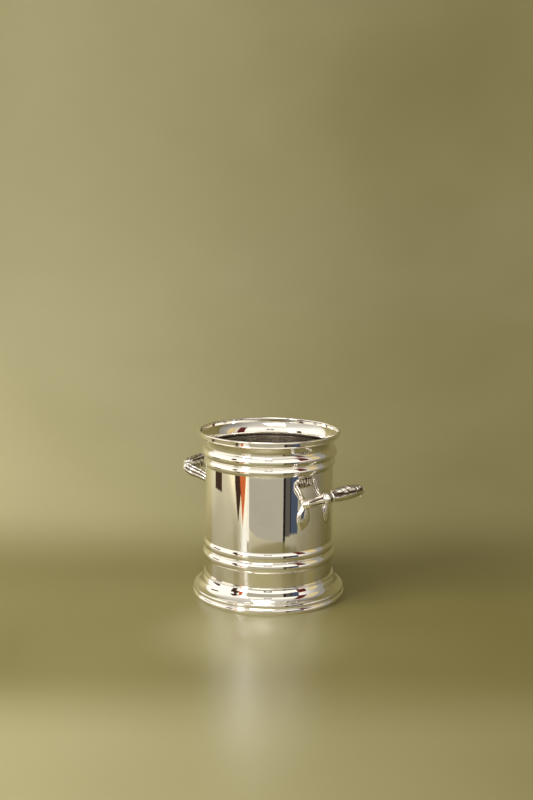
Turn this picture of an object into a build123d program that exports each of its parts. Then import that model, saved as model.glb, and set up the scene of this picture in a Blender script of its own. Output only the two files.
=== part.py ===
from build123d import *
import os
from math import asin, cos, degrees, radians, sin, sqrt

# Silver-plated champagne bucket on a spreading foot, with two fixed cast handles.
# Millimetres, +Z up.  The origin is under the bucket's axis, on the surface it stands on.
# The handles lie along X.  "right" is the +X handle, "front" the -Y side of each handle.

# ---- driving dimensions ----
total_height = 211.0
wall_radius = 81.0
sheet = 1.2
wall_base = 28.5
seam_height = 188.0

flare_start = 190.0
flare_bend = 18.4
flare_reach = 7.2
rim_radius = 90.0
rim_wire_size = 3.0

# applied half-round wires: (name, lower edge, upper edge, how far it stands out)
applied_wires = [
    ("upper_reed_large", 177.5, 192.5, 4.6),
    ("upper_reed_small", 166.5, 177.5, 2.4),
    ("lower_reed_small", 60.5, 72.5, 2.1),
    ("lower_reed_large", 46.5, 60.5, 3.5),
]

bottom_thickness = 1.5

foot_sheet = 1.4
foot_flange_radius = 76.0
foot_lip_radius = 83.4
foot_lip_bend = 1.0
foot_lip_low = 26.2
# where the foot turns from round to hollow, and how steep it is there, in degrees
swell_end = (85.9, 20.0)
swell_steepness = 75.0
hollow_edge = 94.5
band_top = 11.8
band_low = 7.0
band_out = 1.5
band_edge_out = 0.9
foot_radius = 98.0
foot_wire_depth = 5.5
foot_wire_edge = 97.0
foot_wire_high = 2.2

# half of a wall pad's spear outline, tip to neck: (half width, height)
pad_outline = [(0.0, 98.0), (5.8, 103.4), (9.2, 114.0), (7.7, 122.0), (4.8, 130.5)]
pad_top = 134.5
pad_thickness = 3.4
pad_splay = 9.5

handle_root = 130.5
handle_rise = 22.5
boss_size = 8.2
# the handle's centre line in its own plane, foot to middle: (out from the wall, to the side)
handle_points = [(-4.0, 18.8), (12.0, 20.2), (28.0, 24.8), (41.0, 29.4), (48.0, 25.6), (51.5, 14.0)]
handle_reach = 52.6
# where boss, arm and knop end, as shares of the centre line's length
boss_share = 0.075
arm_share = 0.295
knop_share = 0.345
# diameters at even steps along each bar; the grip is broader than it is thick
arm_sizes = [9.8, 11.2, 13.0, 13.8, 13.2]
knop_sizes = [9.8, 12.6, 13.4, 12.6, 9.8]
grip_sizes = [11.4, 15.2, 17.0, 17.4, 17.0, 15.2, 11.4]
grip_breadth = 1.2

# ---- worked out from the driving dimensions ----
wall_inside = wall_radius - sheet
flare_centre = wall_radius + flare_bend
flare_angle = degrees(2 * asin(sqrt(flare_reach / (2 * flare_bend))))
rim_wire_radius = rim_wire_size / 2
rim_wire_centre = (rim_radius - rim_wire_radius, total_height - rim_wire_radius)


def turned(edges):
    """Turn a closed outline, drawn as (radius, height), about the bucket's axis."""
    return revolve(Plane.XZ * make_face(edges), Axis.Z)


def chain(points):
    """Straight edges from point to point."""
    return [Line(first, second) for first, second in zip(points[:-1], points[1:])]


def ring(inner, outer, low, high):
    """A plain ring of rectangular section."""
    corners = [(inner, low), (outer, low), (outer, high), (inner, high), (inner, low)]
    return turned(chain(corners))


def applied_wire(low, high, bulge):
    """A half-round wire that lies against the outside of the wall."""
    front = ThreePointArc(
        (wall_radius, low), (wall_radius + bulge, (low + high) / 2), (wall_radius, high)
    )
    return turned([front, Line((wall_radius, high), (wall_radius, low))])


def flare_point(bend, share):
    """A point on the trumpet curve of the mouth, at a share of its angle."""
    angle = radians(flare_angle * share)
    return (flare_centre - bend * cos(angle), flare_start + bend * sin(angle))


def rim_wire():
    """The round wire that closes the mouth's edge."""
    section = Plane.XZ * (Pos(*rim_wire_centre) * Circle(rim_wire_radius))
    return revolve(section, Axis.Z)


def mouth_flare():
    """The spun mouth: a short upright collar, a trumpet curve and a lip under the rim wire."""
    outside = [flare_point(flare_bend, share) for share in (0, 0.5, 1)]
    inside = [flare_point(flare_bend + sheet, share) for share in (0, 0.5, 1)]
    lip_outer = (rim_wire_centre[0] + sheet / 2, rim_wire_centre[1])
    lip_inner = (rim_wire_centre[0] - sheet / 2, rim_wire_centre[1])
    edges = [
        Line((wall_inside, seam_height), (wall_radius, seam_height)),
        Line((wall_radius, seam_height), outside[0]),
        ThreePointArc(*outside),
        Line(outside[2], lip_outer),
        Line(lip_outer, lip_inner),
        Line(lip_inner, inside[2]),
        ThreePointArc(inside[2], inside[1], inside[0]),
        Line(inside[0], (wall_inside, seam_height)),
    ]
    return turned(edges) - rim_wire()


def leaving(first, last, steepness):
    """An arc between two points that is as steep as asked, in degrees below level, at first."""
    way = (cos(radians(steepness)), -sin(radians(steepness)))
    return TangentArc(first, last, tangent=way)


def arriving(first, last, steepness):
    """An arc between two points that is as steep as asked, in degrees below level, at last."""
    way_back = (-cos(radians(steepness)), sin(radians(steepness)))
    return TangentArc(last, first, tangent=way_back)


def foot_skirt():
    """The spun foot: a flange and lip under the wall, a slight swell and a hollow sweep outwards."""
    under_lip = foot_lip_radius - foot_sheet
    into_sheet = (-sin(radians(swell_steepness)), -cos(radians(swell_steepness)))
    under_swell = tuple(at + foot_sheet * step for at, step in zip(swell_end, into_sheet))
    lip = (foot_lip_radius, foot_lip_low)
    inner_lip = (under_lip, foot_lip_low)
    edge = (hollow_edge, band_top)
    inner_edge = (hollow_edge, band_top - foot_sheet)
    flange_end = foot_lip_radius - foot_lip_bend
    lip_top = (foot_lip_radius, wall_base - foot_lip_bend)
    flange = chain([inner_lip, (under_lip, wall_base - foot_sheet)])
    flange += chain([(under_lip, wall_base - foot_sheet), (foot_flange_radius, wall_base - foot_sheet)])
    flange += chain([(foot_flange_radius, wall_base - foot_sheet), (foot_flange_radius, wall_base)])
    flange += chain([(foot_flange_radius, wall_base), (flange_end, wall_base)])
    flange.append(TangentArc((flange_end, wall_base), lip_top, tangent=(1, 0)))
    outside = [Line(lip_top, lip), arriving(lip, swell_end, swell_steepness)]
    outside.append(leaving(swell_end, edge, swell_steepness))
    inside = [Line(edge, inner_edge), leaving(under_swell, inner_edge, swell_steepness)]
    inside.append(arriving(inner_lip, under_swell, swell_steepness))
    return turned(flange + outside + inside)


def foot_band():
    """The fine upright band between the foot's hollow sweep and its edge wire."""
    back = hollow_edge
    front = back + band_edge_out
    edges = chain([(front, band_top), (back, band_top), (back, band_low), (front, band_low)])
    middle = (back + band_out, (band_low + band_top) / 2)
    return turned(edges + [ThreePointArc((front, band_low), middle, (front, band_top))])


def foot_wire():
    """The heavy wire round the foot's edge, flat underneath where it stands."""
    inner = foot_radius - foot_wire_depth
    top = (hollow_edge + band_edge_out, band_low)
    edges = chain([top, (inner, band_low), (inner, 0), (foot_wire_edge, 0)])
    return turned(edges + [ThreePointArc((foot_wire_edge, 0), (foot_radius, foot_wire_high), top)])


# ---- handles: drawn for the +X side, then mirrored to the other ----
handle_plane = Plane(
    origin=(wall_radius, 0, handle_root),
    x_dir=(cos(radians(handle_rise)), 0, sin(radians(handle_rise))),
    z_dir=(-sin(radians(handle_rise)), 0, cos(radians(handle_rise))),
)


def handle_line():
    """The centre line of a whole handle, from the front foot to the back foot."""
    front = [(out, -side) for out, side in handle_points]
    back = [(out, side) for out, side in reversed(handle_points)]
    return handle_plane * Spline(front + [(handle_reach, 0)] + back)


def bar(line, start, end, sizes, breadth=1.0):
    """A bar along part of the handle line, through the given thicknesses.  Its breadth, in the
    plane of the handle, is that many times its thickness."""
    steps = len(sizes) - 1
    sections = []
    for index, size in enumerate(sizes):
        share = start + (end - start) * index / steps
        section = Plane(origin=line @ share, x_dir=handle_plane.z_dir, z_dir=line % share)
        sections.append(section * Ellipse(size / 2, breadth * size / 2))
    return loft(sections)


def pad_plate(side):
    """A spear-shaped plate that follows the curve of the wall below one arm."""
    apart = handle_points[0][1] * side
    other_half = [(-out, up) for out, up in reversed(pad_outline)]
    top = ThreePointArc(pad_outline[-1], (0, pad_top), other_half[0])
    outline = [Spline(pad_outline), top, Spline(other_half)]
    neck = Pos(0, handle_root)
    face = neck * Rot(0, 0, pad_splay * side) * neck.inverse() * make_face(outline)
    lean = degrees(asin(apart / wall_radius))
    plate = Rot(0, 0, lean) * extrude(Plane.YZ * face, wall_radius + 2 * pad_thickness)
    return plate & ring(wall_radius, wall_radius + pad_thickness, 0, total_height)


def handle_nodes(name):
    """Every piece of one handle, by node name."""
    line = handle_line()
    wall = Cylinder(wall_radius, 2 * total_height)
    nodes = {}
    for place, side in (("front", -1), ("back", 1)):
        near = [boss_share, arm_share, knop_share]
        far = [1 - share for share in near]
        boss_end, arm_end, knop_end = near if side < 0 else far
        boss_start = 0 if side < 0 else 1
        boss = bar(line, boss_start, boss_end, [boss_size, boss_size]) - wall
        pad = pad_plate(side) + boss
        nodes[f"{name}_handle_{place}_pad"] = pad
        nodes[f"{name}_handle_{place}_arm"] = bar(line, boss_end, arm_end, arm_sizes)
        nodes[f"{name}_handle_{place}_knop"] = bar(line, arm_end, knop_end, knop_sizes)
    nodes[f"{name}_handle_leaf_grip"] = bar(line, knop_share, 1 - knop_share, grip_sizes, grip_breadth)
    return nodes


# ---- the whole bucket ----
parts = {
    "rim_wire": rim_wire(),
    "mouth_flare": mouth_flare(),
    "body_wall": ring(wall_inside, wall_radius, wall_base, seam_height),
    "body_bottom": ring(0, wall_inside, wall_base, wall_base + bottom_thickness),
    "foot_skirt": foot_skirt(),
    "foot_band": foot_band(),
    "foot_wire": foot_wire(),
}
for wire_name, wire_low, wire_high, wire_bulge in applied_wires:
    parts[wire_name] = applied_wire(wire_low, wire_high, wire_bulge)
parts["upper_reed_large"] -= parts["mouth_flare"]
parts.update(handle_nodes("right"))
for node_name, solid in handle_nodes("left").items():
    parts[node_name] = mirror(solid, about=Plane.YZ)

os.makedirs("parts", exist_ok=True)
for node_name, solid in parts.items():
    solid.label = node_name
    export_step(solid, f"parts/{node_name}.step")
print(len(parts), "nodes")
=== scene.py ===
import math

import bmesh
import bpy
import numpy as np
from mathutils import Matrix, Vector


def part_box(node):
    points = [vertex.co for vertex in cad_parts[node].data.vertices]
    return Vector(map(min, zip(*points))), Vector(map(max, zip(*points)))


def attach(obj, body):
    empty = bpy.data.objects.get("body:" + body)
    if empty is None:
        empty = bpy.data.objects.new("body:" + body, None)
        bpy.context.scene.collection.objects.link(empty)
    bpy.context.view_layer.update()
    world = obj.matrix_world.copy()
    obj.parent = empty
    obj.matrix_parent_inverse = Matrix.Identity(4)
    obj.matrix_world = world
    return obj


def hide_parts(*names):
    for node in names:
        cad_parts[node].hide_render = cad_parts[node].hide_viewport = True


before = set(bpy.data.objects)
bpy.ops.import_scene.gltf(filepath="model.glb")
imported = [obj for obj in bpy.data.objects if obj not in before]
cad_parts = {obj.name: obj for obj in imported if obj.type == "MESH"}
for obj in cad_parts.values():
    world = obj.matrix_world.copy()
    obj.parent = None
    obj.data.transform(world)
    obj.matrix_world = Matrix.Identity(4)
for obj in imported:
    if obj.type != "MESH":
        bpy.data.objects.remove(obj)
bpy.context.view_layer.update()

# A silver-plated champagne bucket: turned walls, reeds and foot, and two cast handles with
# fluted arms, knops and leaf-wrapped grips.  Metres throughout; MM turns millimetres to metres.
MM = 0.001


# ---------------------------------------------------------------- sizes taken from the frame

def reach(node):
    """Largest radius of a turned node."""
    low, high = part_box(node)
    return max(high.x, high.y, -low.x, -low.y)


def span(node):
    """Lowest and highest point of a node."""
    low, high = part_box(node)
    return low.z, high.z


# the mouth cuts a little off this reed's node at the top, so its full height is stated here
UPPER_REED_HEIGHT = 15.0 * MM
wall_radius = reach("body_wall")
wall_inside = reach("body_bottom")
sheet = wall_radius - wall_inside


# ---------------------------------------------------------------- colours, grain and view

BRIGHT_PLATE = (0.955, 0.925, 0.86, 1)
WORN_PLATE = (0.84, 0.79, 0.69, 1)
# the dark brown that the recess values blend in: patina and painted shade
DARKENED_PLATE = (0.10, 0.062, 0.034, 1)
INSIDE_PLATE = (0.88, 0.85, 0.78, 1)
# the paper's colour in painted shade and in painted light
PAPER_IN_PAINTED_SHADE = (0.148, 0.124, 0.022, 1)
PAPER_IN_PAINTED_LIGHT = (0.58, 0.54, 0.325, 1)
LAMP_COLOUR = (1, 0.96, 0.9)
ROOM_COLOUR = (1.0, 0.95, 0.865, 1)
FILL_COLOUR = (1.0, 0.95, 0.86, 1)
BLACK = (0, 0, 0, 1)

# scales of the silver's noise, from the broad waves of the planishing to the finest marks
WAVE_SCALE = 17.0
HAZE_SCALE = 38.0
WIPE_SCALE = 900.0
SPECK_SCALE = 1400.0
MARK_SCALE = 2600.0
# how far wipes and marks are drawn out round the axis: metres of noise for each radian
MARK_STRETCH = 0.02
# roughness that full tarnish adds
TARNISH_ROUGHNESS = 0.22

CLOUD_SCALE = 1.6
FIBRE_SCALE = 900.0
FIBRE_HEIGHT = 0.00015
PAPER_ROUGHNESS = 0.3
# centre of the painted pool of light that the bucket throws back on the floor: right of the axis,
# towards the camera, up
PATCH_CENTRE = (-0.02, 0.16, 0.0)
# the camera's place round the bucket, turned from the front towards the right
VIEW_AZIMUTH = math.radians(44.0)


# ---------------------------------------------------------------- node helpers for materials

def new_material(name):
    """A node material, its tree and its Principled shader."""
    material = bpy.data.materials.new(name)
    material.use_nodes = True
    tree = material.node_tree
    return material, tree, tree.nodes["Principled BSDF"]


def add(tree, kind, settings=None, **inputs):
    """A node with its settings and its inputs, each a value or another node's socket.  An input
    is given by its name, or by the letter i and its number."""
    node = tree.nodes.new(kind)
    for key, value in (settings or {}).items():
        setattr(node, key, value)
    for key, value in inputs.items():
        numbered = key[0] == "i" and key[1:].isdigit()
        socket = node.inputs[int(key[1:]) if numbered else key]
        if isinstance(value, bpy.types.NodeSocket):
            tree.links.new(value, socket)
        else:
            socket.default_value = value
    return node


def math_node(tree, operation, first, second=0.0):
    """The result of one sum."""
    return add(tree, "ShaderNodeMath", {"operation": operation}, i0=first, i1=second).outputs[0]


def remap(tree, value, low, high, new_low, new_high):
    """A value moved smoothly from one range to another, held at its ends."""
    smooth = {"interpolation_type": "SMOOTHSTEP"}
    ends = {"i1": low, "i2": high, "i3": new_low, "i4": new_high}
    return add(tree, "ShaderNodeMapRange", smooth, i0=value, **ends).outputs[0]


def noise(tree, vector, scale, detail, roughness):
    """Fractal noise from 0 to 1."""
    grain = {"Scale": scale, "Detail": detail, "Roughness": roughness}
    return add(tree, "ShaderNodeTexNoise", Vector=vector, **grain).outputs[0]


def blend_colours(tree, share, first, second):
    """A mix of two colours."""
    node = add(tree, "ShaderNodeMix", {"data_type": "RGBA"}, i0=share, i6=first, i7=second)
    return node.outputs[2]


def bump(tree, height, distance, strength=1.0, **normal):
    """A normal disturbed by a height, on top of another normal where one is given."""
    node = add(
        tree, "ShaderNodeBump", Strength=strength, Distance=distance, Height=height, **normal
    )
    return node.outputs[0]


def turning_coordinates(tree):
    """The place itself, and coordinates drawn out round the axis, whose noise makes turning
    marks."""
    place = add(tree, "ShaderNodeTexCoord").outputs["Object"]
    across, deep, up = add(tree, "ShaderNodeSeparateXYZ", Vector=place).outputs
    angle = math_node(tree, "ARCTAN2", deep, across)
    across_squared = math_node(tree, "POWER", across, 2)
    deep_squared = math_node(tree, "POWER", deep, 2)
    radius = math_node(tree, "SQRT", math_node(tree, "ADD", across_squared, deep_squared))
    drawn_out = math_node(tree, "MULTIPLY", angle, MARK_STRETCH)
    return place, add(tree, "ShaderNodeCombineXYZ", X=drawn_out, Y=up, Z=radius).outputs[0]


def silver(name, bright, roughness, waviness, turning):
    """Polished silver plate: slow waves left by the planishing, turning marks, wiped patches of
    haze, and a dark brown blend wherever the mesh's recess values call for it: patina and painted shade
    in the handles' hollows, and a darker inside of the bucket.
    waviness and turning are the heights of the waves and of the marks."""
    material, tree, shader = new_material(name)
    shader.inputs["Metallic"].default_value = 1.0
    place, round_axis = turning_coordinates(tree)
    haze = noise(tree, place, HAZE_SCALE, 4.0, 0.6)
    wipes = noise(tree, round_axis, WIPE_SCALE, 3.0, 0.6)
    specks = noise(tree, place, SPECK_SCALE, 2.0, 0.5)
    waves = noise(tree, place, WAVE_SCALE, 1.0, 0.4)
    marks = noise(tree, round_axis, MARK_SCALE, 2.0, 0.5)
    recess = add(tree, "ShaderNodeAttribute", {"attribute_name": "recess"}).outputs["Fac"]

    worn = blend_colours(tree, remap(tree, haze, 0.42, 0.72, 0.0, 0.3), bright, WORN_PLATE)
    # recess darkens the plate towards dark brown: patina and painted shade in the handles' hollows, a
    # darker inside in the bucket
    darkening_share = math_node(tree, "MULTIPLY", recess, remap(tree, specks, 0.3, 0.7, 0.86, 1.0))
    tree.links.new(blend_colours(tree, darkening_share, worn, DARKENED_PLATE), shader.inputs["Base Color"])

    half_haze = math_node(tree, "MULTIPLY", haze, 0.5)
    half_wipes = math_node(tree, "MULTIPLY", wipes, 0.5)
    wear = math_node(tree, "ADD", half_haze, half_wipes)
    polish = remap(tree, wear, 0.35, 0.7, roughness * 0.7, roughness * 1.5)
    dulling = math_node(tree, "MULTIPLY", recess, TARNISH_ROUGHNESS)
    tree.links.new(math_node(tree, "ADD", polish, dulling), shader.inputs["Roughness"])

    planished = bump(tree, waves, waviness)
    tree.links.new(bump(tree, marks, turning, Normal=planished), shader.inputs["Normal"])
    return material


def studio_frame(tree):
    """The place itself, and how far it is to the camera's right, towards the camera and up."""
    place = add(tree, "ShaderNodeTexCoord").outputs["Object"]
    about_z = {"rotation_type": "Z_AXIS"}
    turned = add(tree, "ShaderNodeVectorRotate", about_z, Vector=place, Angle=-VIEW_AZIMUTH)
    across, away, up = add(tree, "ShaderNodeSeparateXYZ", Vector=turned.outputs[0]).outputs
    return place, across, math_node(tree, "MULTIPLY", away, -1.0), up


def paper(name):
    """Khaki paper with a fine fibre and a sheen that fades upwards.  Its colour is painted light
    and shade: painted shade deepest round the bucket, painted light in front of it, up the sweep and
    towards the window's side, and a painted pool of the light that the bucket throws back.  The share of
    the pale colour adds up from these."""
    material, tree, shader = new_material(name)
    place, across, nearer, up = studio_frame(tree)
    # the pale share is painted light and shade: paler in front, up the sweep behind and towards the
    # window's side, deepest round the bucket between, and darker towards the top
    fore = remap(tree, nearer, 0.26, 0.44, 0.0, 0.75)
    far_fore = remap(tree, nearer, 0.5, 0.9, 0.0, 1.1)
    bend = remap(tree, nearer, -0.05, -0.42, 0.0, 0.92)
    top = remap(tree, up, 0.05, 0.8, 0.0, -0.16)
    front = math_node(tree, "ADD", fore, far_fore)
    sweep = math_node(tree, "ADD", bend, top)
    side = remap(tree, across, -0.6, 0.5, 0.74, 0.16)
    share = math_node(tree, "MULTIPLY", math_node(tree, "MAXIMUM", front, sweep), side)

    cloud = noise(tree, place, CLOUD_SCALE, 3.0, 0.6)
    share = math_node(tree, "ADD", share, remap(tree, cloud, 0.3, 0.7, 0.10, 0.18))

    # a painted pool of the light that the bucket throws back on the floor
    flat = add(tree, "ShaderNodeCombineXYZ", X=across, Y=nearer, Z=0.0).outputs[0]
    gap = add(tree, "ShaderNodeVectorMath", {"operation": "DISTANCE"}, i0=flat, i1=PATCH_CENTRE)
    patch = remap(tree, gap.outputs["Value"], 0.02, 0.14, 0.30, 0.0)
    share = math_node(tree, "ADD", share, patch)
    tree.links.new(blend_colours(tree, share, PAPER_IN_PAINTED_SHADE, PAPER_IN_PAINTED_LIGHT), shader.inputs["Base Color"])

    shader.inputs["Roughness"].default_value = PAPER_ROUGHNESS
    sheen = remap(tree, up, 0.05, 0.9, 0.85, 0.1)
    tree.links.new(sheen, shader.inputs["Specular IOR Level"])
    fibre = noise(tree, place, FIBRE_SCALE, 3.0, 0.6)
    tree.links.new(bump(tree, fibre, FIBRE_HEIGHT, strength=0.25), shader.inputs["Normal"])
    return material


plate = silver(
    "silver_plate", BRIGHT_PLATE, roughness=0.04, waviness=0.00022, turning=0.0000035
)
inside_plate = silver(
    "silver_inside", INSIDE_PLATE, roughness=0.12, waviness=0.0003, turning=0.000012
)
cast_plate = silver("cast_silver", BRIGHT_PLATE, roughness=0.07, waviness=0.0001, turning=0.0)


# ---------------------------------------------------------------- mesh helpers

def smoothstep(low, high, value):
    """0 below low, 1 above high and an even curve between."""
    share = np.clip((value - low) / (high - low), 0, 1)
    return share * share * (3 - 2 * share)


def hump(value, middle, width):
    """1 in the middle, falling off evenly to 0 on both sides."""
    return np.exp(-(((value - middle) / width) ** 2))


def round_angles(count):
    """Evenly spaced angles, once round."""
    return np.linspace(0, 2 * math.pi, count, endpoint=False)


def solid_mesh(name, points, faces):
    """A mesh whose faces all look outwards."""
    mesh = bpy.data.meshes.new(name)
    mesh.from_pydata([tuple(p) for p in points], [], faces)
    work = bmesh.new()
    work.from_mesh(mesh)
    bmesh.ops.recalc_face_normals(work, faces=work.faces)
    work.to_mesh(mesh)
    work.free()
    return mesh


def add_piece(name, points, faces, material, slot, node, recess=None):
    """A smooth-shaded mesh piece that rides on the bucket and stands for one CAD node.  recess
    says for each point how far its silver is darkened and dulled, from 0 to 1: patina and painted shade
    in the handles' hollows, a darker inside in the bucket."""
    mesh = solid_mesh(name, points, faces)
    mesh.materials.append(material)
    mesh.shade_smooth()
    mesh.set_sharp_from_angle(angle=math.radians(40))
    if recess is not None:
        layer = mesh.attributes.new("recess", "FLOAT", "POINT")
        layer.data.foreach_set("value", np.asarray(recess, np.float32))
    piece = bpy.data.objects.new(name, mesh)
    bpy.context.collection.objects.link(piece)
    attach(piece, "root")
    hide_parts(node)


def arc(centre, radius, start, end, steps):
    """Points on an arc, drawn as (radius, height), from one angle to another in degrees."""
    angles = np.radians(np.linspace(start, end, steps + 1))
    return [(centre[0] + radius * math.cos(a), centre[1] + radius * math.sin(a)) for a in angles]


def bow(first, last, bulge, steps):
    """Points from first to last along a circular arc that bulges to the right of the way there."""
    first, last = np.array(first), np.array(last)
    chord = last - first
    half = np.linalg.norm(chord) / 2
    side = np.array([chord[1], -chord[0]]) / (2 * half)
    radius = (half * half + bulge * bulge) / (2 * bulge)
    centre = (first + last) / 2 + side * (bulge - radius)
    sweep = math.asin(min(1.0, half / radius))
    if bulge > half:
        sweep = math.pi - sweep
    angles = np.linspace(-sweep, sweep, steps + 1)
    ahead = chord / (2 * half)
    return [tuple(centre + radius * (math.cos(a) * side + math.sin(a) * ahead)) for a in angles]


def arc_leaving(first, last, steepness, steps):
    """Points on the arc from first to last that starts at the given steepness below level."""
    first, last = np.array(first), np.array(last)
    ahead = np.array([math.cos(steepness), -math.sin(steepness)])
    chord = last - first
    half = np.linalg.norm(chord) / 2
    turn_to_chord = math.atan2(ahead[0] * chord[1] - ahead[1] * chord[0], float(ahead @ chord))
    bulge = half * math.tan(turn_to_chord / 2)
    return bow(tuple(first), tuple(last), bulge, steps)


def arc_arriving(first, last, steepness, steps=16):
    """Points on the arc from first to last that ends at the given steepness below level."""
    mirrored = arc_leaving((-last[0], last[1]), (-first[0], first[1]), -steepness, steps)
    return [(-out, up) for out, up in reversed(mirrored)]


def soften(corners, size, steps=4):
    """A closed outline with every corner rounded off by the given size."""
    made = []
    count = len(corners)
    for index, corner in enumerate(corners):
        corner = np.array(corner, float)
        before = np.array(corners[index - 1], float) - corner
        after = np.array(corners[(index + 1) % count], float) - corner
        cut = min(size, 0.4 * np.linalg.norm(before), 0.4 * np.linalg.norm(after))
        start = corner + before / np.linalg.norm(before) * cut
        end = corner + after / np.linalg.norm(after) * cut
        for share in np.linspace(0, 1, steps + 1):
            near = start * (1 - share) + corner * share
            far = corner * (1 - share) + end * share
            made.append(tuple(near * (1 - share) + far * share))
    return made


def turn(outline, turns=288):
    """Points and faces of a closed outline of (radius, height) turned about the axis."""
    angles = round_angles(turns)
    count = len(outline)
    points = [(r * math.cos(a), r * math.sin(a), z) for a in angles for r, z in outline]
    faces = []
    for turn_index in range(turns):
        here = turn_index * count
        there = (turn_index + 1) % turns * count
        for index in range(count):
            after = (index + 1) % count
            faces.append((here + index, there + index, there + after, here + after))
    return points, faces


def turn_disc(outline, turns=288):
    """Points and faces of an outline that starts and ends on the axis, turned into a solid disc."""
    points, faces = turn(outline[1:-1], turns)
    count = len(outline) - 2
    points += [(0, 0, outline[0][1]), (0, 0, outline[-1][1])]
    top, under = len(points) - 2, len(points) - 1
    faces = [f for f in faces if f[0] % count != count - 1]
    for index in range(turns):
        here, there = index * count, (index + 1) % turns * count
        faces.append((top, here, there))
        faces.append((under, there + count - 1, here + count - 1))
    return points, faces


def grid_faces(rows, columns, closed=True, base=0):
    """Faces between points numbered row by row from base.  In a closed grid the last column
    joins the first."""
    faces = []
    for row in range(rows - 1):
        here = base + row * columns
        there = here + columns
        for column in range(columns if closed else columns - 1):
            after = (column + 1) % columns
            faces.append((here + column, here + after, there + after, there + column))
    return faces


# ---------------------------------------------------------------- turned pieces

def inner_dullness(points):
    """Darker and duller inside: heavy down in the drum and slight in the mouth."""
    in_drum, less_in_mouth = 0.6, 0.42
    points = np.array(points)
    outward = np.hypot(points[:, 0], points[:, 1])
    mouth = span("body_wall")[1]
    above = smoothstep(mouth, mouth + 3.0 * MM, points[:, 2])
    face = wall_inside + 0.4 * MM + np.clip(outward - wall_radius, 0, None)
    inner = 1 - smoothstep(face, face + 0.5 * MM, outward)
    return inner * (in_drum - less_in_mouth * above)


def make_wall():
    """The plain drum."""
    low, high = span("body_wall")
    corners = [(wall_inside, low), (wall_radius, low), (wall_radius, high), (wall_inside, high)]
    points, faces = turn(soften(corners, 0.15 * MM))
    dull = inner_dullness(points)
    add_piece("wall", points, faces, plate, "silver_plate", "body_wall", dull)


def make_bottom():
    """The bottom disc, faintly dished towards the middle and evenly darkened and dulled."""
    low, high = span("body_bottom")
    radius, dish, dish_share, darkening = wall_inside, 0.5 * MM, 0.86, 0.5
    top = [(0, high - dish)]
    for share in np.linspace(0.08, dish_share, 18):
        top.append((radius * share, high - dish * (1 - share / dish_share) ** 0.5))
    top += [(radius * 0.9, high), (radius * 0.985, high), (radius, high - 0.2 * MM)]
    points, faces = turn_disc(top + [(radius, low), (0, low)])
    dull = [darkening] * len(points)
    add_piece("bottom", points, faces, inside_plate, "silver_inside", "body_bottom", dull)


def make_reed(name, node):
    """An applied half-round wire, its back sunk a little into the wall."""
    low, high = span(node)
    bulge = reach(node) - wall_radius
    if node == "upper_reed_large":
        high = low + UPPER_REED_HEIGHT
    back = wall_radius - 0.3 * MM
    face = bow((wall_radius, low), (wall_radius, high), bulge, 32)
    outline = face + [(back, high), (back, low)]
    add_piece(name, *turn(outline), plate, "silver_plate", node)


def make_mouth():
    """The spun trumpet mouth, one smooth curve from the drum to the lip under the rim wire."""
    low, high = span("mouth_flare")
    lip = reach("mouth_flare")
    bend, sweep, upright = 18.4 * MM, 52.5, 2.0 * MM
    centre = (wall_radius + bend, low + upright)
    outer = arc(centre, bend, 180, 180 - sweep, 30)
    inner = arc(centre, bend + sheet, 180 - sweep, 180, 30)
    outline = [(wall_radius, low)] + outer + [(lip, high), (lip - sheet, high)] + inner
    points, faces = turn(outline + [(wall_inside, low)])
    add_piece("mouth", points, faces, plate, "silver_plate", "mouth_flare", inner_dullness(points))


def make_rim():
    """The round wire round the mouth's edge."""
    low, high = span("rim_wire")
    radius = (high - low) / 2
    centre = (reach("rim_wire") - radius, (low + high) / 2)
    count = 24
    outline = arc(centre, radius, 0, 360 - 360 / count, count - 1)
    add_piece("rim", *turn(outline), plate, "silver_plate", "rim_wire")


def make_foot_skirt():
    """Flange and lip under the wall, a slight swell and the hollow sweep of the spun foot."""
    low, high = span("foot_skirt")
    thick = 1.4 * MM
    lip, lip_low, lip_bend, flange = 83.4 * MM, 26.2 * MM, 1.0 * MM, 76.0 * MM
    swell, steepness = np.array([85.9, 20.0]) * MM, math.radians(75)
    under_swell = swell - thick * np.array([math.sin(steepness), math.cos(steepness)])
    edge = reach("foot_skirt")
    outside = arc((lip - lip_bend, high - lip_bend), lip_bend, 90, 0, 8) + [(lip, lip_low)]
    outside += arc_arriving((lip, lip_low), tuple(swell), steepness)[1:]
    outside += arc_leaving(tuple(swell), (edge, low + thick), steepness, 32)[1:]
    inside = arc_leaving(tuple(under_swell), (edge, low), steepness, 32)[::-1]
    inside += arc_arriving((lip - thick, lip_low), tuple(under_swell), steepness)[::-1][1:]
    under_flange = [(lip - thick, high - thick), (flange, high - thick)]
    outline = [(flange, high)] + outside + inside + under_flange
    add_piece("foot_skirt_turned", *turn(outline), plate, "silver_plate", "foot_skirt")


def make_foot_band():
    """The fine upright band above the foot's edge."""
    low, high = span("foot_band")
    front, back = reach("foot_band"), reach("foot_skirt") - 0.4 * MM
    bulge, shoulder, ledge = 0.6 * MM, 0.25 * MM, 1.0 * MM
    face = bow((front - bulge, low), (front - bulge, high - shoulder), bulge, 12)
    outline = [(back, low)] + face + [(front - ledge, high), (back, high)]
    add_piece("foot_band_turned", *turn(outline), plate, "silver_plate", "foot_band")


def make_foot_wire():
    """The heavy edge wire, flat underneath."""
    low, high = span("foot_wire")
    outer = reach("foot_wire")
    inner = outer - 5.5 * MM
    low_edge, high_edge = outer - 1.0 * MM, outer - 2.2 * MM
    bulge, chamfer = 1.35 * MM, 0.3 * MM
    face = bow((low_edge, low), (high_edge, high), bulge, 20)
    outline = [(inner, low + chamfer), (inner + chamfer, low)] + face + [(inner, high)]
    add_piece("foot_wire_turned", *turn(outline), plate, "silver_plate", "foot_wire")


# ---------------------------------------------------------------- the handles' line

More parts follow.
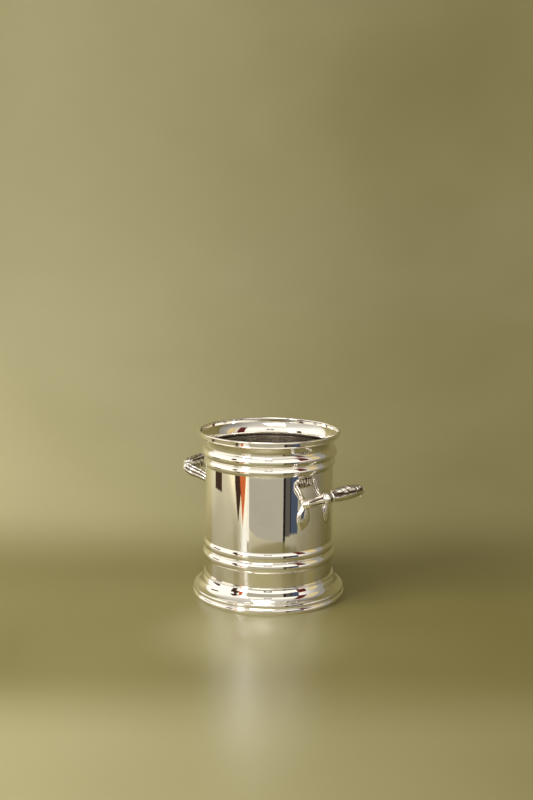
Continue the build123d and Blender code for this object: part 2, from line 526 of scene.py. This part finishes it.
# The centre line of half a handle in its own plane, from the wall towards the middle of the grip,
# in millimetres out from the wall and to the side.  The plane rises outwards from the root.
HANDLE_POINTS = [(-4.0, 18.8), (12.0, 20.2), (28.0, 24.8), (41.0, 29.4), (48.0, 25.6), (51.5, 14.0)]
HANDLE_REACH = 52.6
HANDLE_ROOT = 130.5 * MM
HANDLE_RISE = math.radians(22.5)
# where the neck, the arm and the knop end, as shares of the line from wall to wall
BOSS_END, ARM_END, KNOP_END = 0.075, 0.295, 0.345
# the knop starts a little way down in the arm's cup
KNOP_START = ARM_END - 0.012

OUTWARD = np.array([math.cos(HANDLE_RISE), 0, math.sin(HANDLE_RISE)])
SIDEWAYS = np.array([0, 1, 0])
TOPWARD = np.array([-math.sin(HANDLE_RISE), 0, math.cos(HANDLE_RISE)])
ROOT = np.array([wall_radius, 0, HANDLE_ROOT])


def smooth_curve(points, count):
    """Points along the natural cubic curve through the given points."""
    points = np.array(points, float)
    steps = np.linalg.norm(np.diff(points, axis=0), axis=1)
    knots = np.concatenate([[0], np.cumsum(steps)])
    size = len(points)
    system = np.eye(size)
    right = np.zeros((size, 2))
    for i in range(1, size - 1):
        system[i, i - 1 : i + 2] = (steps[i - 1], 2 * (steps[i - 1] + steps[i]), steps[i])
        right[i] = 6 * (
            (points[i + 1] - points[i]) / steps[i] - (points[i] - points[i - 1]) / steps[i - 1]
        )
    bends = np.linalg.solve(system, right)
    made = []
    for where in np.linspace(0, knots[-1], count):
        i = min(int(np.searchsorted(knots, where, side="right")) - 1, size - 2)
        a, b, h = (knots[i + 1] - where), (where - knots[i]), steps[i]
        made.append(
            (bends[i] * a**3 + bends[i + 1] * b**3) / (6 * h)
            + (points[i] / h - bends[i] * h / 6) * a
            + (points[i + 1] / h - bends[i + 1] * h / 6) * b
        )
    return np.array(made)


def handle_path():
    """Dense points of the handle's centre line in its own plane, and their share of its length."""
    front = [(out, -side) for out, side in HANDLE_POINTS]
    back = [(out, side) for out, side in reversed(HANDLE_POINTS)]
    flat = smooth_curve(front + [(HANDLE_REACH, 0)] + back, count=1200) * MM
    lengths = np.concatenate([[0], np.cumsum(np.linalg.norm(np.diff(flat, axis=0), axis=1))])
    return flat, lengths / lengths[-1]


path_points, path_shares = handle_path()


def path_at(shares):
    """Places on the centre line in its own plane."""
    return np.stack([np.interp(shares, path_shares, path_points[:, i]) for i in (0, 1)], -1)


def along_handle(shares):
    """Centre points, and directions to the handle's outer side, at shares of the line."""
    small = 0.001
    flat = path_at(shares)
    step = path_at(shares + small) - path_at(shares - small)
    way = step / np.linalg.norm(step, axis=-1, keepdims=True)
    centre = ROOT + flat[..., :1] * OUTWARD + flat[..., 1:] * SIDEWAYS
    outer = way[..., 1:] * OUTWARD - way[..., :1] * SIDEWAYS
    return centre, outer


def tube(shares, radii):
    """A closed tube round the handle line.  shares and radii are grids, rows along the line and
    columns round it, radii in millimetres; the first column is the top of the handle and a
    quarter of the way round is its outer side."""
    rows, columns = radii.shape
    angles = round_angles(columns)[None, :, None]
    centre, outer = along_handle(shares)
    grid = centre + (radii * MM)[..., None] * (np.cos(angles) * TOPWARD + np.sin(angles) * outer)
    points = [tuple(p) for p in grid.reshape(-1, 3)]
    faces = grid_faces(rows, columns)
    for row in (0, rows - 1):
        middle, base = len(points), row * columns
        points.append(tuple(grid[row].mean(0)))
        faces += [(middle, base + column, base + (column + 1) % columns) for column in range(columns)]
    return points, faces


def recessed_tube(shares, radii, recess, ends):
    """A tube and the recess values of its points, those of its two end points last."""
    return *tube(shares, radii), list(recess.ravel()) + ends


# ---------------------------------------------------------------- arms and knops

FLUTES = 7
# the arm's radius in millimetres along its run
ARM_RUN = (0, 0.25, 0.5, 0.75, 0.92, 1)
ARM_RADII = (4.9, 5.6, 6.6, 7.2, 6.8, 7.4)
# as shares of the arm's length: where the cup's rim lies, and how much further its petals reach
ARM_REACH, PETAL_REACH = 0.985, 0.055
# the cup's wall and the core in it, in millimetres, and how much of the lip's radius is left a
# little way in
CUP_WALL, CUP_CORE = 0.9, 3.6
CUP_NARROWING = 0.8
# darkening of the cup's lip, its inner side and the core: patina and painted shade down in the cup
CUP_DARKENING = (0.5, 0.9, 1)


def arm_shape():
    """A fluted arm that swells towards the elbow and opens there into a cup of petals."""
    rows, columns = 150, 16 * FLUTES
    run = np.linspace(0, 1, rows)[:, None]
    ribs = np.abs(np.cos(FLUTES * round_angles(columns) / 2))[None, :]
    flute_depth = 0.25 * smoothstep(0.06, 0.22, run)
    collar = 0.55 * hump(run, 0.035, 0.022)
    groove = 0.5 * hump(run, 0.085, 0.016)
    radii = np.interp(run, ARM_RUN, ARM_RADII) * (1 - flute_depth + flute_depth * ribs**0.75)
    radii = radii + collar - groove + smoothstep(0.86, 1.0, run) * ribs * 0.5

    length = ARM_END - BOSS_END
    petals = smoothstep(0.80, 1.0, run) * (ribs**1.6) * PETAL_REACH * length
    shares = BOSS_END + length * run * ARM_REACH + petals

    end = shares[-1:]
    lip = radii[-1:] - CUP_WALL
    shares = np.vstack([shares, end, end - 0.004, np.full_like(end, KNOP_START)])
    radii = np.vstack([radii, lip, lip * CUP_NARROWING, np.full_like(lip, CUP_CORE)])
    # the hollows between the flutes and the groove are darkened: patina and painted shade
    darkening_share = flute_depth * 5.6 * (1 - ribs) ** 1.2 + groove * 1.6
    recess = np.vstack([darkening_share] + [np.full_like(lip, darkening) for darkening in CUP_DARKENING])
    return recessed_tube(shares, radii, np.clip(recess, 0, 1), [0.0, 1.0])


def knop_shape():
    """A plain bead between two grooves and two fine rings."""
    rows, columns = 90, 72
    neck_radius, bead_height, ring_height = 4.7, 2.0, 1.1
    undarkened_radius, darkening_fade = 5.8, 0.7
    run = np.repeat(np.linspace(0, 1, rows)[:, None], columns, 1)
    bead = np.sqrt(np.clip(1 - ((run - 0.5) / 0.33) ** 2, 0, 1))
    rings = hump(run, 0.09, 0.028) + hump(run, 0.91, 0.028)
    radii = neck_radius + bead_height * bead + ring_height * rings
    shares = KNOP_START + (KNOP_END - KNOP_START) * run
    # below that radius the grooves and the neck are darkened: patina and painted shade
    recess = np.clip((undarkened_radius - radii) / darkening_fade, 0, 1)
    return recessed_tube(shares, radii, recess, [0.5, 0.5])


# ---------------------------------------------------------------- leaf grips

# in millimetres: the core's radius at the ends and its swelling, and what the leaves add
GRIP_RADIUS, GRIP_SWELLING = 5.4, 2.2
LOBE_HEIGHT, CREASE_DEPTH, CUFF_HEIGHT = 2.5, 1.2, 0.7
# how much broader the grip is from inside to outside than it is high
GRIP_BREADTH = 1.2
# which way the leaves' middle ribs face: 0 is the top of the handle and positive is outwards
LEAF_SIDE = math.radians(-14)
# how far round the grip each pair of lobes reaches from the rib, in degrees
LOBE_REACH = (112, 138, 126)
# as shares of half the grip: where the first lobe leaves the rib, the step to the next, how far a
# lobe runs forward on its way round, and its half width
LOBE_START, LOBE_STEP, LOBE_SLANT, LOBE_WIDTH = 0.13, 0.29, 0.26, 0.175


def leaf_height(half, angles):
    """Two fields over half the grip, from its root at 0 to its tip at 1: the height of the leaf's
    plump, slanting, overlapping lobes, and how far a place is inside the leaf."""
    away = np.abs((angles - LEAF_SIDE + math.pi) % (2 * math.pi) - math.pi)
    height = np.zeros(np.broadcast(half, away).shape)
    for lobe, lobe_reach in enumerate(LOBE_REACH):
        out = away / math.radians(lobe_reach)
        held = np.clip(out, 0, 1)
        middle = LOBE_START + LOBE_STEP * lobe + LOBE_SLANT * held**1.2
        width = LOBE_WIDTH * (1 - 0.35 * held**3)
        place = (half - middle) / width
        ridge = np.sqrt(np.clip(1 - place**2, 0, 1)) * (0.78 + 0.22 * place)
        vein = 1 - 0.22 * hump(place, 0.1, 0.13) * smoothstep(0.1, 0.4, held) * (held < 0.85)
        curl = 0.80 + 0.20 * smoothstep(0.5, 0.9, held)
        ending = 1 - smoothstep(0.70, 1.0, out)
        height = np.maximum(height, ridge * vein * curl * ending)
    rib = 0.9 * hump(away, 0, 0.13)
    gutter = 0.3 * hump(away, 0.27, 0.08)
    inside = 1 - smoothstep(math.radians(92), math.radians(128), away)
    return np.maximum(height - gutter, rib) * inside, inside


def grip_shape():
    """The swelling grip, wrapped by two leaves that grow from its ends and meet in the middle."""
    rows, columns = 260, 180
    run = np.linspace(0, 1, rows)[:, None]
    angles = round_angles(columns)[None, :]
    half = 1 - np.abs(2 * run - 1)
    core = GRIP_RADIUS + GRIP_SWELLING * np.sin(half * math.pi / 2) ** 0.7
    lobes, inside = leaf_height(half, angles)
    fade = smoothstep(0.02, 0.14, half)
    crease = inside * (1 - smoothstep(0.1, 0.74, lobes)) * fade
    radii = core + LOBE_HEIGHT * lobes * fade - CREASE_DEPTH * crease
    radii = radii + hump(half, 0.03, 0.03) * CUFF_HEIGHT
    radii = radii * (1 + (GRIP_BREADTH - 1) * np.sin(angles) ** 2)
    shares = KNOP_END + (1 - 2 * KNOP_END) * np.repeat(run, columns, 1)
    # the creases between the lobes are darkened: patina and painted shade
    recess = np.clip(crease * 2.2, 0, 1)
    return recessed_tube(shares, radii, recess, [0.5, 0.5])


# ---------------------------------------------------------------- wall pads

# a pad's spear from its tip to its top, in millimetres: height, half width, rise of the dome
PAD_PROFILE = [
    (98, 0.25, 0.5),
    (100, 3.0, 1.6),
    (103.4, 6.0, 2.6),
    (108, 8.4, 3.6),
    (114, 9.4, 4.3),
    (118, 9.1, 4.4),
    (122, 7.9, 4.3),
    (126.5, 6.0, 4.1),
    (130.5, 4.8, 3.9),
    (133.2, 3.4, 3.0),
    (134.5, 0.4, 1.0),
]
PAD_SUNK = 0.6 * MM
PAD_SPLAY = math.radians(-9.5)
# the radius in millimetres of the neck between pad and arm, along its run
BOSS_RUN = (0, 0.5, 0.8, 1)
BOSS_RADII = (5.4, 4.6, 4.0, 4.0)


def pad_dome():
    """The spear-shaped dome of a wall pad, its back sunk a little into the wall."""
    rows, columns = 46, 33
    levels, half_widths, rises = np.array(PAD_PROFILE).T * MM
    tip, top = levels[0], levels[-1]
    heights = tip + (top - tip) * (1 - np.cos(np.linspace(0, math.pi, rows))) / 2
    widths = np.interp(heights, levels, half_widths)
    domes = np.interp(heights, levels, rises)
    across = np.sin(np.linspace(-math.pi / 2, math.pi / 2, columns))
    middle = math.asin(-HANDLE_POINTS[0][1] * MM / wall_radius)
    points = []
    for front in (True, False):
        for height, width, dome in zip(heights, widths, domes):
            for share in across:
                lift = dome * math.sqrt(max(0.0, 1 - abs(share) ** 2.2)) if front else -PAD_SUNK
                side, up = share * width, height - HANDLE_ROOT
                turned = side * math.cos(PAD_SPLAY) - up * math.sin(PAD_SPLAY)
                raised = side * math.sin(PAD_SPLAY) + up * math.cos(PAD_SPLAY)
                angle, radius = middle + turned / wall_radius, wall_radius + lift
                points.append((radius * math.cos(angle), radius * math.sin(angle), HANDLE_ROOT + raised))
    back = rows * columns
    faces = grid_faces(rows, columns, closed=False) + grid_faces(rows, columns, closed=False, base=back)
    edge = list(range(columns)) + [row * columns + columns - 1 for row in range(1, rows)]
    edge += [(rows - 1) * columns + column for column in reversed(range(columns - 1))]
    edge += [row * columns for row in reversed(range(1, rows - 1))]
    for index, here in enumerate(edge):
        there = edge[(index + 1) % len(edge)]
        faces.append((here, there, there + back, here + back))
    return points, faces


def boss_tube():
    """The short round neck between pad and arm, from inside the pad to just inside the arm."""
    rows, columns = 12, 40
    run = np.repeat(np.linspace(0, 1, rows)[:, None], columns, 1)
    start, end = 0.012, BOSS_END + 0.004
    return tube(start + (end - start) * run, np.interp(run, BOSS_RUN, BOSS_RADII))


def joined(*shapes):
    """Several closed shapes as one list of points and faces."""
    points, faces = [], []
    for more_points, more_faces in shapes:
        base = len(points)
        points += more_points
        faces += [tuple(base + i for i in face) for face in more_faces]
    return points, faces


def pad_shape():
    """Dome and neck grown together into one smooth casting."""
    mesh = solid_mesh("pad_rough", *joined(pad_dome(), boss_tube()))
    rough = bpy.data.objects.new("pad_rough", mesh)
    bpy.context.collection.objects.link(rough)
    remesh = rough.modifiers.new("remesh", "REMESH")
    remesh.mode = "VOXEL"
    remesh.voxel_size = 0.3 * MM
    ease = rough.modifiers.new("ease", "SMOOTH")
    ease.factor = 0.5
    ease.iterations = 10
    evaluated = rough.evaluated_get(bpy.context.evaluated_depsgraph_get())
    made = evaluated.to_mesh()
    points = np.array([tuple(v.co) for v in made.vertices])
    faces = [tuple(p.vertices) for p in made.polygons]
    evaluated.to_mesh_clear()
    bpy.data.objects.remove(rough)
    lift = np.hypot(points[:, 0], points[:, 1]) - wall_radius
    # the pad is darkened where it meets the wall: patina and painted shade in the seam
    seam_darkening = 0.9 * (1 - smoothstep(0.1 * MM, 0.9 * MM, lift))
    return points, faces, seam_darkening


# ---------------------------------------------------------------- the two handles

def add_casting(name, shape, right, back, node):
    """One cast piece, mirrored from the right front to where it belongs."""
    points, faces, recess = shape
    placed = np.array(points)
    placed[:, 0] *= 1 if right else -1
    placed[:, 1] *= -1 if back else 1
    add_piece(name, placed, faces, cast_plate, "cast_silver", node, recess)


def make_handles():
    """Both handles: one set of shapes, mirrored to the left and to the back."""
    shapes = {"pad": pad_shape(), "arm": arm_shape(), "knop": knop_shape()}
    grip = grip_shape()
    for name, right in (("right", True), ("left", False)):
        for place, back in (("front", False), ("back", True)):
            for part, shape in shapes.items():
                node = f"{name}_handle_{place}_{part}"
                add_casting(f"{name}_{place}_{part}", shape, right, back, node)
        add_casting(f"{name}_leaf_grip", grip, right, False, f"{name}_handle_leaf_grip")


# ---------------------------------------------------------------- studio

# most cards make one low curved screen before the bucket: how far off and how high it stands
SCREEN, TOP = 0.342, 0.134
# Things that stand before the bucket and show only in its reflections: name, left and right
# azimuth in degrees, distance, low, high, colour, rounding, taper.
CARDS = [
    ("grey_panel", -31.5, 22, SCREEN, 0.0, TOP, (0.43, 0.40, 0.315), 0.03, 0.0),
    ("white_edge", -35, -31.5, SCREEN, 0.0, TOP, (0.95, 0.90, 0.78), 0.0, 0.0),
    ("dark_edge", 22, 25.5, SCREEN, 0.0, TOP, (0.008, 0.007, 0.006), 0.0, 0.0),
    ("dark_gap", 25.5, 33, SCREEN, 0.01, TOP, (0.10, 0.088, 0.075), 0.0, 0.0),
    ("dark_fringe", 33, 34.5, SCREEN, 0.014, TOP, (0.012, 0.011, 0.012), 0.0, 0.0),
    ("blue_strip", 34.5, 46, SCREEN, 0.014, TOP, (0.060, 0.080, 0.125), 0.0, 0.0),
    ("terracotta_fold", -47, -36.5, SCREEN, 0.028, TOP, (0.62, 0.14, 0.04), 0.0, 0.1),
    ("dark_fold", -56, -44, 0.345, 0.034, TOP, (0.05, 0.024, 0.014), 0.0, 0.08),
    ("dark_box", -100, -83, SCREEN, 0.088, TOP, (0.05, 0.026, 0.016), 0.0, 0.0),
    ("red_case", 50, 66, 0.90, 0.27, 1.10, (0.11, 0.010, 0.008), 0.0, 0.0),
    ("straw_case", 72, 90, 0.90, 0.24, 0.95, (0.72, 0.58, 0.30), 0.0, 0.0),
    ("round_lamp", -8, 6, 1.00, 0.58, 0.80, (0.05, 0.05, 0.055), 0.0, 0.0),
    ("round_lamp_face", -5, 3, 0.98, 0.64, 0.73, (0.9, 0.87, 0.8), 0.0, 0.0),
    ("dark_stool", -64, -55, 1.00, 0.22, 0.60, (0.05, 0.026, 0.022), 0.0, 0.0),
    ("window_pane", -49, -37, 2.20, 0.60, 1.60, (7.0, 7.2, 7.6), 0.0, 0.0),
]

ROOM_SIZE = 5.0
# the room is brightest on the side of this azimuth, in degrees
BRIGHT_SIDE = -35
FILL_STRENGTH = 0.42
TOWARDS_CAMERA = Vector((math.sin(VIEW_AZIMUTH), -math.cos(VIEW_AZIMUTH), 0))
CAMERA_RIGHT = Vector((math.cos(VIEW_AZIMUTH), math.sin(VIEW_AZIMUTH), 0))
LIGHTS_AIM = Vector((0, 0, 0.1))


def make_camera():
    """A 50 mm lens a little above the bucket's mouth, tipped down and very slightly off level."""
    distance, height, sideways = 1.383, 0.4634, -0.0044
    tilt, roll = math.radians(8.84), math.radians(0.5)
    forward = -TOWARDS_CAMERA * math.cos(tilt) - Vector((0, 0, math.sin(tilt)))
    up = CAMERA_RIGHT.cross(forward)
    right = CAMERA_RIGHT * math.cos(roll) + up * math.sin(roll)
    upright = up * math.cos(roll) - CAMERA_RIGHT * math.sin(roll)
    data = bpy.data.cameras.new("camera")
    data.lens = 50.0
    data.sensor_width = 36.0
    camera = bpy.data.objects.new("camera", data)
    turned = Matrix((right, upright, -forward)).transposed().to_4x4()
    turned.translation = TOWARDS_CAMERA * distance + CAMERA_RIGHT * sideways + Vector((0, 0, height))
    camera.matrix_world = turned
    bpy.context.collection.objects.link(camera)
    bpy.context.scene.camera = camera


def studio_point(azimuth, distance, height):
    """A point in the studio; azimuth 0 is towards the camera and positive to its right."""
    angle = math.radians(azimuth)
    flat = TOWARDS_CAMERA * math.cos(angle) + CAMERA_RIGHT * math.sin(angle)
    return flat * distance + Vector((0, 0, height))


def studio_mesh(name, points, faces, material):
    """A mesh of the studio, not of the bucket."""
    mesh = bpy.data.meshes.new(name)
    mesh.from_pydata([tuple(p) for p in points], [], faces)
    mesh.materials.append(material)
    mesh.shade_smooth()
    thing = bpy.data.objects.new(name, mesh)
    bpy.context.collection.objects.link(thing)
    return thing


def make_backdrop():
    """A sweep of paper: flat floor all round, rising behind the bucket in one long bend."""
    turns = 180
    bend_start, bend, height = 0.45, 1.2, 3.0
    outline = [(0.3, 0.0)] + arc((bend_start, bend), bend, 270, 350, 40) + [(1.75, height)]
    angles = np.linspace(0, 360, turns, endpoint=False)
    turned = (angles + 180) % 360 - 180
    rise = smoothstep(98, 136, turned) + smoothstep(116, 150, -turned)
    points = [Vector((0, 0, 0))]
    points += [studio_point(a, r, z * up) for r, z in outline for a, up in zip(angles, rise)]
    faces = [(0, 1 + i, 1 + (i + 1) % turns) for i in range(turns)]
    for row in range(len(outline) - 1):
        base = 1 + row * turns
        for i in range(turns):
            after = (i + 1) % turns
            faces.append((base + i, base + turns + i, base + turns + after, base + after))
    studio_mesh("backdrop", points, faces, paper("backdrop_paper"))


def glowing_material(name, colour):
    """A black material that only glows, its tree and its shader."""
    material, tree, shader = new_material(name)
    shader.inputs["Base Color"].default_value = BLACK
    shader.inputs["Roughness"].default_value = 1.0
    shader.inputs["Emission Color"].default_value = colour
    return material, tree, shader


def card_glow(name, colour, strength):
    """An even glow on the front of a face; from behind the face is clear."""
    material, tree, shader = glowing_material(name, colour)
    shader.inputs["Emission Strength"].default_value = strength
    behind = add(tree, "ShaderNodeNewGeometry").outputs["Backfacing"]
    clear = add(tree, "ShaderNodeBsdfTransparent").outputs[0]
    both = add(tree, "ShaderNodeMixShader", i0=behind, i1=shader.outputs[0], i2=clear)
    tree.links.new(both.outputs[0], tree.nodes["Material Output"].inputs["Surface"])
    return material


def room_glow():
    """Walls that glow most on the bright side and least opposite it, under a duller ceiling."""
    material, tree, shader = glowing_material("room_glow", ROOM_COLOUR)
    place = add(tree, "ShaderNodeTexCoord").outputs["Object"]
    way = add(tree, "ShaderNodeVectorMath", {"operation": "NORMALIZE"}, i0=place).outputs[0]
    bright_side = tuple(studio_point(BRIGHT_SIDE, 1.0, 0.0))
    facing = add(tree, "ShaderNodeVectorMath", {"operation": "DOT_PRODUCT"}, i0=way, i1=bright_side)
    walls = remap(tree, facing.outputs["Value"], -0.75, 0.35, 0.3, 1.25)
    height = add(tree, "ShaderNodeSeparateXYZ", Vector=way).outputs[2]
    ceiling = remap(tree, height, 0.52, 0.86, 1.0, 0.52)
    tree.links.new(math_node(tree, "MULTIPLY", walls, ceiling), shader.inputs["Emission Strength"])
    return material


def reflected_only(thing, camera=False):
    """Keeps a glowing thing from lighting the paper, and out of the camera's sight unless asked."""
    thing.visible_camera = camera
    thing.visible_diffuse = False
    thing.visible_shadow = False


def make_room():
    """The pale room round the paper: a dome that the camera and reflections see."""
    rows, turns = 24, 96
    lowest, highest = -14, 90
    points = []
    for row in range(rows + 1):
        tilt = math.radians(lowest + (highest - lowest) * row / rows)
        out, up = ROOM_SIZE * math.cos(tilt), ROOM_SIZE * math.sin(tilt)
        points += [studio_point(360 * i / turns, out, up) for i in range(turns)]
    room = studio_mesh("room", points, grid_faces(rows + 1, turns), room_glow())
    reflected_only(room, camera=True)


def make_card(name, start, end, distance, low, high, colour, rounding, taper):
    """A curved upright card, seen only in reflections.  Its lower left corner may be rounded off,
    or it may taper to a point below."""
    steps = 32
    points = []
    for share in np.linspace(0, 1, steps + 1):
        lift = rounding * (1 - math.sqrt(1 - (1 - share) ** 2)) + taper * abs(2 * share - 1)
        angle = start + (end - start) * share
        points.append(studio_point(angle, distance, low + lift))
        points.append(studio_point(angle, distance, high))
    faces = [(2 * i + 1, 2 * i + 3, 2 * i + 2, 2 * i) for i in range(steps)]
    strength = max(1.0, *colour)
    glow = card_glow(name + "_face", (*(part / strength for part in colour), 1), strength)
    reflected_only(studio_mesh(name, points, faces, glow))


def make_softbox(name, azimuth, distance, height, size, power):
    """A rectangular area light that faces the bucket."""
    data = bpy.data.lights.new(name, "AREA")
    data.shape = "RECTANGLE"
    data.size, data.size_y = size
    data.energy = power
    data.color = LAMP_COLOUR
    light = bpy.data.objects.new(name, data)
    light.location = studio_point(azimuth, distance, height)
    way = LIGHTS_AIM - light.location
    light.rotation_mode = "QUATERNION"
    light.rotation_quaternion = way.to_track_quat("-Z", "Y")
    bpy.context.collection.objects.link(light)
    return light


def make_world():
    """A faint even fill."""
    world = bpy.data.worlds.new("studio_air")
    bpy.context.scene.world = world
    world.use_nodes = True
    background = world.node_tree.nodes["Background"]
    background.inputs["Color"].default_value = FILL_COLOUR
    background.inputs["Strength"].default_value = FILL_STRENGTH


def make_studio():
    """Backdrop, room, lights and the dark and pale things that stand in front of the bucket."""
    make_backdrop()
    make_room()
    make_world()
    # the key light stays out of the reflections, where the window_pane card stands for it
    key = make_softbox("key_window", -60, 1.9, height=1.1, size=(1.3, 0.9), power=46)
    key.visible_glossy = False
    make_softbox("top_light", -20, 0.7, height=2.0, size=(0.8, 0.8), power=8)
    for card in CARDS:
        make_card(*card)


# ---------------------------------------------------------------- the whole scene

make_wall()
make_bottom()
for reed in ("upper_reed_large", "upper_reed_small", "lower_reed_small", "lower_reed_large"):
    make_reed(reed + "_wire", reed)
make_mouth()
make_rim()
make_foot_skirt()
make_foot_band()
make_foot_wire()
make_handles()
make_camera()
make_studio()
bpy.context.scene.view_settings.view_transform = "Standard"
